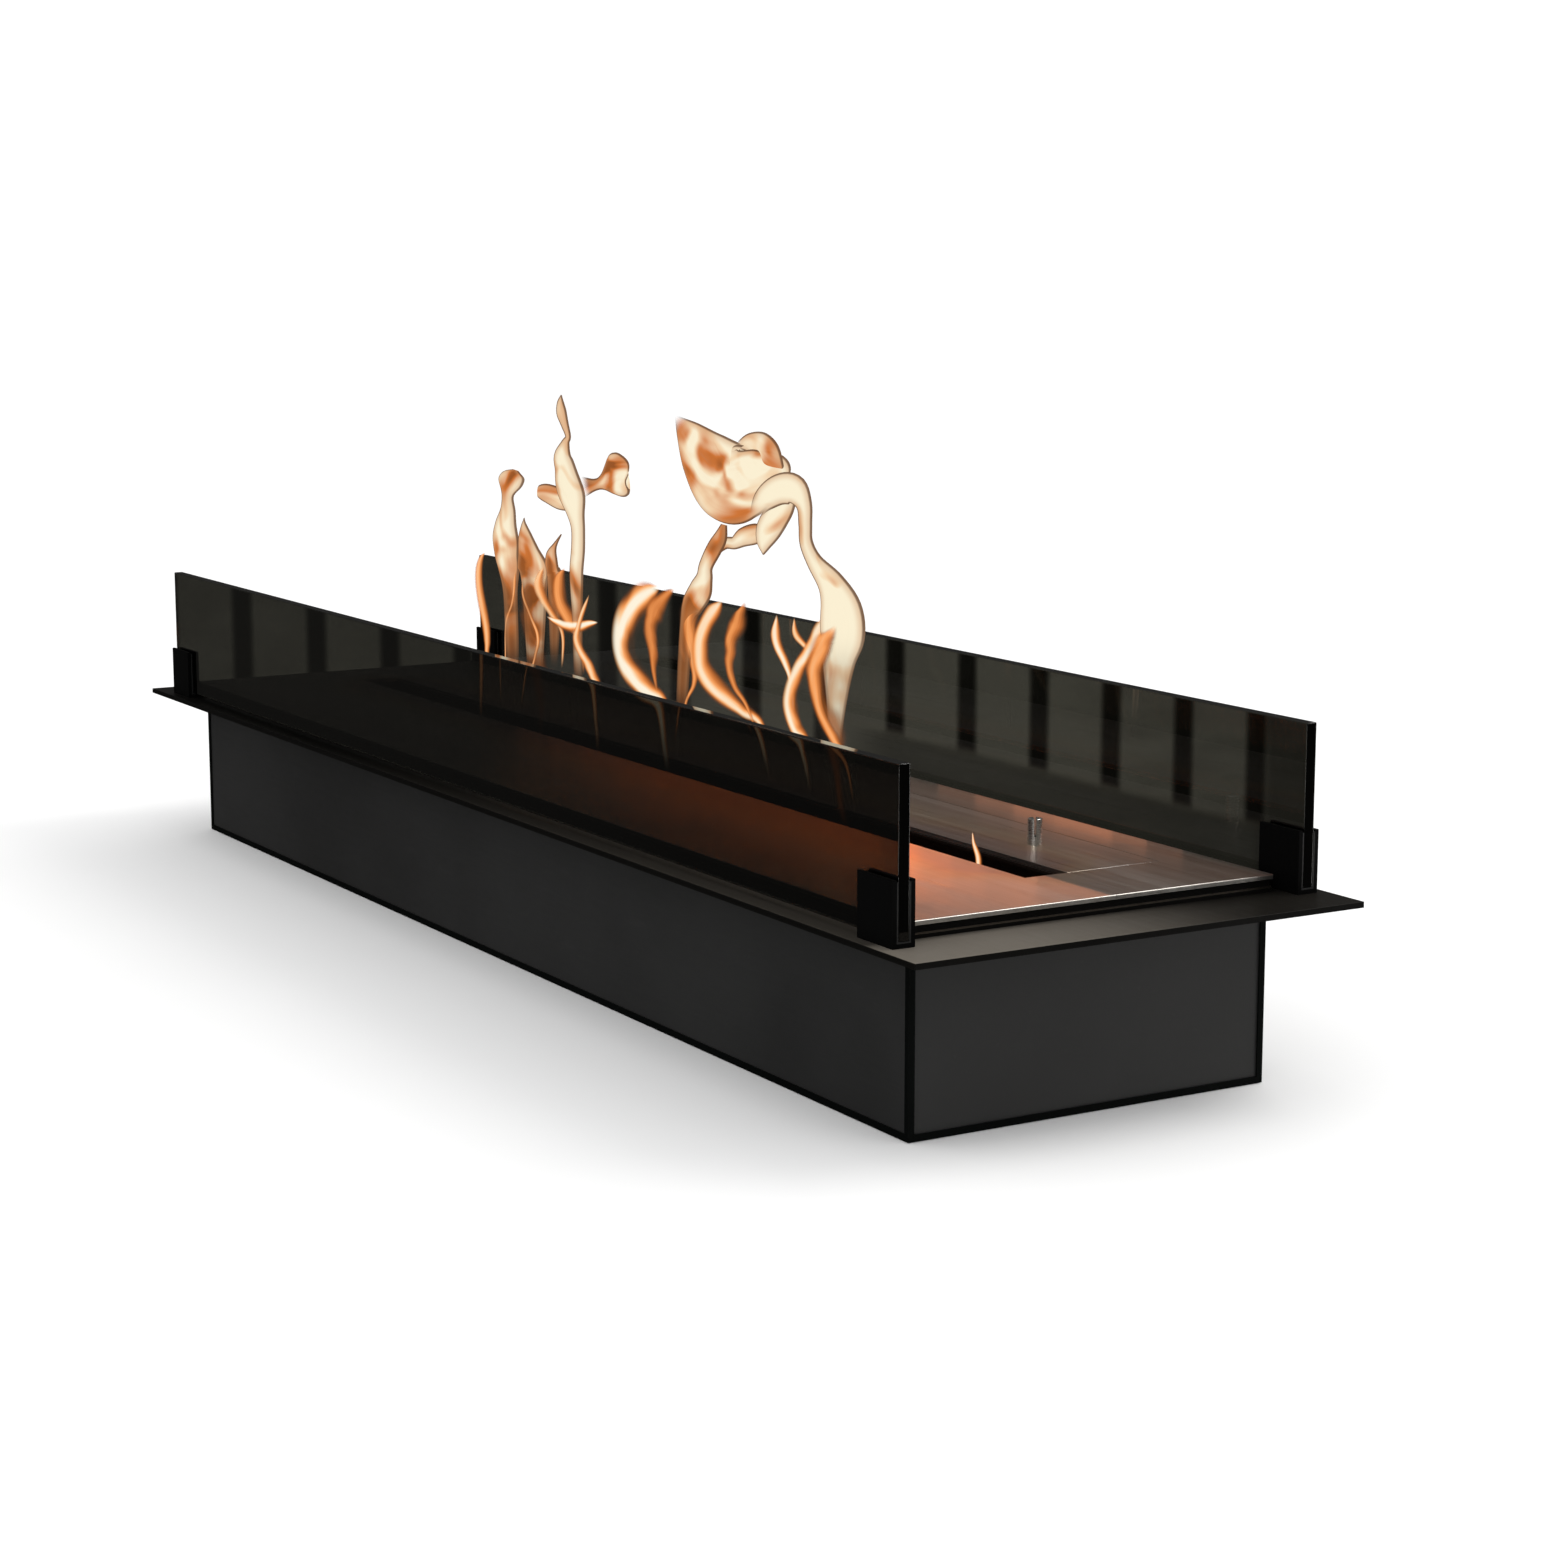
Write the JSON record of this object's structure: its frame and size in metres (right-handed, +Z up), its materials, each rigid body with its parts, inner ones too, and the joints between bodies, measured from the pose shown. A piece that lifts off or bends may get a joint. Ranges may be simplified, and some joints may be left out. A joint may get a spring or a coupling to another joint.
{
  "type": "built-in ribbon burner fireplace",
  "caption": "Long built-in liquid-fuel fireplace: black casing hanging from a thin flange, steel deck with a slot and sliding shutter, smoked glass panes in corner holders.",
  "frame": {"origin": "middle of the casing underside, on the plane the casing stands on", "axes": "+X along the length towards the shutter stud; +Y across, from the slot towards the shutter plate; +Z up, out of the slot"},
  "size_m": [1.314, 0.342, 0.24],
  "materials": {
    "casing_paint": "satin",
    "edge_paint": "satin",
    "flange_paint": "satin",
    "burner_steel": "satin",
    "tank_steel": "satin",
    "stud_steel": "polished",
    "smoked_glass": "gloss",
    "holder_paint": "satin",
    "liner_silicone": "matte",
    "ceramic_wool": "matte",
    "insulation_board": "matte",
    "bearer_steel": "satin",
    "zinc_steel": "satin"
  },
  "bodies": {
    "root": {"bearer_nuts": "zinc_steel", "bearer_studs": "zinc_steel", "bearer_washers": "zinc_steel", "bottom_edge_angles": "edge_paint", "burner_deck": "burner_steel", "casing_tub": "casing_paint", "corner_angles": "edge_paint", "cross_bearer_1": "bearer_steel", "cross_bearer_2": "bearer_steel", "cross_bearer_3": "bearer_steel", "deck_collar": "flange_paint", "deck_frame": "flange_paint", "end_board_left": "insulation_board", "end_board_right": "insulation_board", "flange_nuts": "zinc_steel", "flange_studs": "zinc_steel", "flange_washers": "zinc_steel", "floor_board_1": "insulation_board", "floor_board_2": "insulation_board", "floor_board_3": "insulation_board", "floor_board_4": "insulation_board", "fuel_tank": "tank_steel", "glass_holder_back_left": "holder_paint", "glass_holder_back_right": "holder_paint", "glass_holder_front_left": "holder_paint", "glass_holder_front_right": "holder_paint", "glass_liner_back_left": "liner_silicone", "glass_liner_back_right": "liner_silicone", "glass_liner_front_left": "liner_silicone", "glass_liner_front_right": "liner_silicone", "glass_pane_back": "smoked_glass", "glass_pane_front": "smoked_glass", "holder_screws": "zinc_steel", "locating_pins": "zinc_steel", "shutter_bed": "tank_steel", "side_board_back": "insulation_board", "side_board_front": "insulation_board", "spill_tray": "tank_steel", "top_edge_angles": "edge_paint", "top_flange": "flange_paint", "wool_block_1": "ceramic_wool", "wool_block_2": "ceramic_wool", "wool_block_3": "ceramic_wool", "wool_block_4": "ceramic_wool", "wool_block_5": "ceramic_wool", "wool_plate": "tank_steel"},
    "shutter": {"shutter_plate": "burner_steel", "shutter_stud": "stud_steel", "stud_screw": "zinc_steel", "guide_studs": "zinc_steel", "guide_washers": "zinc_steel", "guide_nuts": "zinc_steel"}
  },
  "joints": [
    {"name": "shutter_slide", "type": "slide", "parent": "root", "child": "shutter", "axis": [0, -1, 0], "range_m": [0, 0.0335]}
  ]
}
